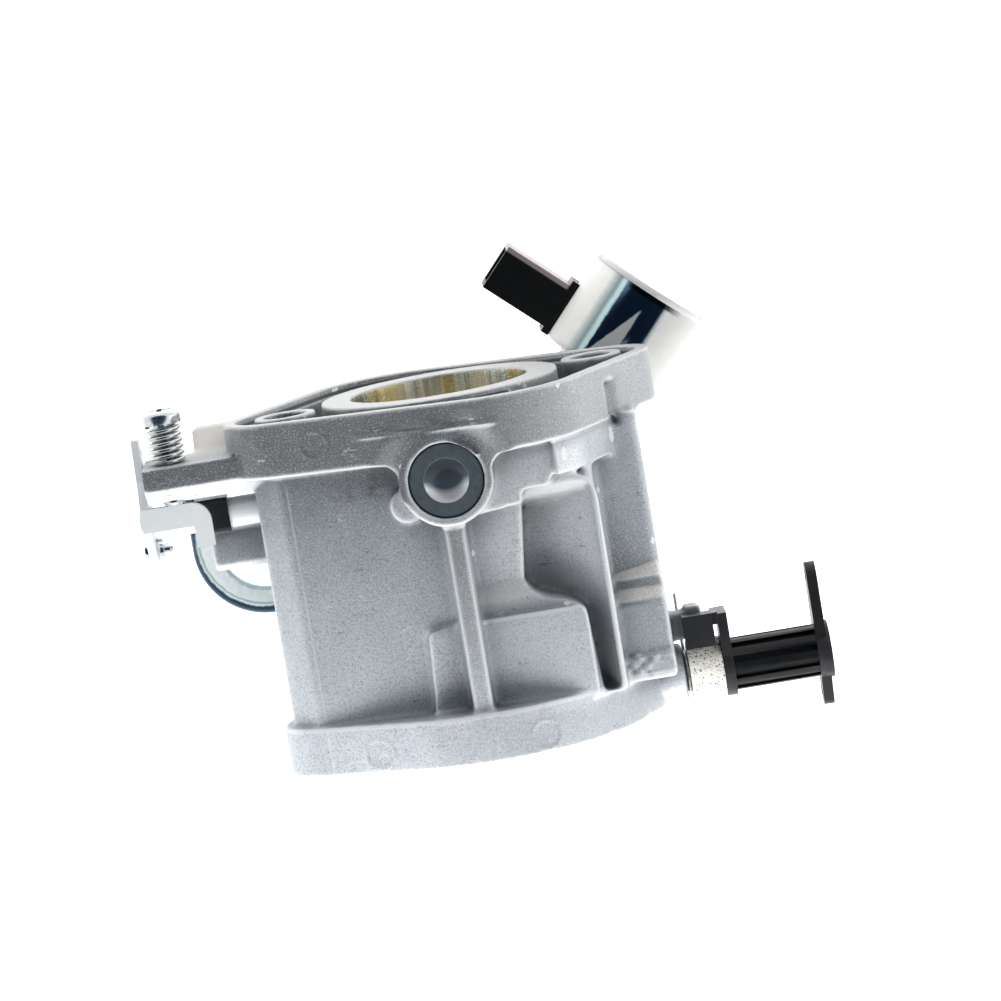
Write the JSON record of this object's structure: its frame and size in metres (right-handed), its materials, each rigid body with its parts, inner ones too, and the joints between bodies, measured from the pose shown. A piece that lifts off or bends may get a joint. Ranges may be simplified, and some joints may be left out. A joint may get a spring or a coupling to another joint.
{
  "type": "carburetor",
  "caption": "Side-draught float-bowl carburetor with butterfly throttle and choke, idle-speed screw, bent fuel tube and a fuel shut-off solenoid on the bowl.",
  "frame": {"origin": "on the bore axis at the sealing face of the engine flange", "axes": "+X towards the choke-lever side, +Y along the bore towards the engine, +Z away from the float bowl"},
  "size_m": [0.1323, 0.0988, 0.095],
  "materials": {
    "cast_alloy": "matte as-cast, machined on the sealing faces",
    "zinc_steel": "bright zinc plate",
    "spring_steel": "bright wire",
    "brass": "machined",
    "black_plastic": "satin moulded",
    "float_plastic": "matte",
    "rubber_tip": "matte",
    "foam": "open-cell foam",
    "fibre": "pressed fibre",
    "copper_wire": "enamelled wire"
  },
  "bodies": {
    "body": {"carburetor_body": "cast_alloy", "float_bowl": "cast_alloy", "expansion_plug": "zinc_steel", "idle_speed_spring": "spring_steel", "bowl_screws": "zinc_steel", "drain_screw": "zinc_steel", "drain_washer": "fibre", "float_hinge_pin": "zinc_steel", "fuel_inlet_tube": "zinc_steel", "solenoid_neck": "zinc_steel", "solenoid_can": "zinc_steel", "solenoid_end_disc": "zinc_steel", "solenoid_washer": "fibre", "plunger_spring": "spring_steel", "choke_return_spring": "spring_steel", "main_nozzle": "brass", "main_jet": "brass", "pilot_jet": "brass", "needle_seat": "brass", "connector_terminals": "brass", "solenoid_connector": "black_plastic", "solenoid_bobbin": "black_plastic", "throttle_shaft_seal": "rubber_tip", "choke_foam_seal": "foam", "bowl_gasket": "fibre", "solenoid_coil": "copper_wire"},
    "throttle": {"throttle_shaft": "zinc_steel", "throttle_plate": "brass", "throttle_plate_screws": "brass", "throttle_lever": "zinc_steel", "link_pin": "zinc_steel", "link_pin_washer": "zinc_steel", "throttle_bush": "black_plastic"},
    "choke": {"choke_shaft": "black_plastic", "choke_plate": "black_plastic"},
    "idle_screw": {"idle_speed_screw": "zinc_steel"},
    "float": {"float": "float_plastic"},
    "needle": {"inlet_needle": "rubber_tip", "needle_clip": "spring_steel"},
    "plunger": {"solenoid_plunger": "zinc_steel"}
  },
  "joints": [
    {"name": "throttle_turn", "type": "hinge", "parent": "body", "child": "throttle", "pos_m": [0, -0.0185, 0], "axis": [1, 0, 0], "range_deg": [0, 75]},
    {"name": "choke_turn", "type": "hinge", "parent": "body", "child": "choke", "pos_m": [0, -0.0655, 0], "axis": [1, 0, 0], "range_deg": [0, 75]},
    {"name": "idle_screw_turn", "type": "hinge", "parent": "body", "child": "idle_screw", "pos_m": [-0.0552, 0, 0.009], "axis": [0, 1, 0], "range_deg": [-270, 270]},
    {"name": "float_drop", "type": "hinge", "parent": "body", "child": "float", "pos_m": [0, -0.055, -0.0305], "axis": [1, 0, 0], "range_deg": [-12, 0]},
    {"name": "needle_travel", "type": "slide", "parent": "body", "child": "needle", "axis": [0, 0, 1], "range_m": [-0.00076, 0]},
    {"name": "plunger_travel", "type": "slide", "parent": "body", "child": "plunger", "axis": [0.6704, 0.742, 0], "range_m": [0, 0.003], "deforming": ["plunger_spring"]}
  ],
  "couplings": [
    {"joint": "needle_travel", "follows": "float_drop", "m_per_rad": 0.0036}
  ]
}
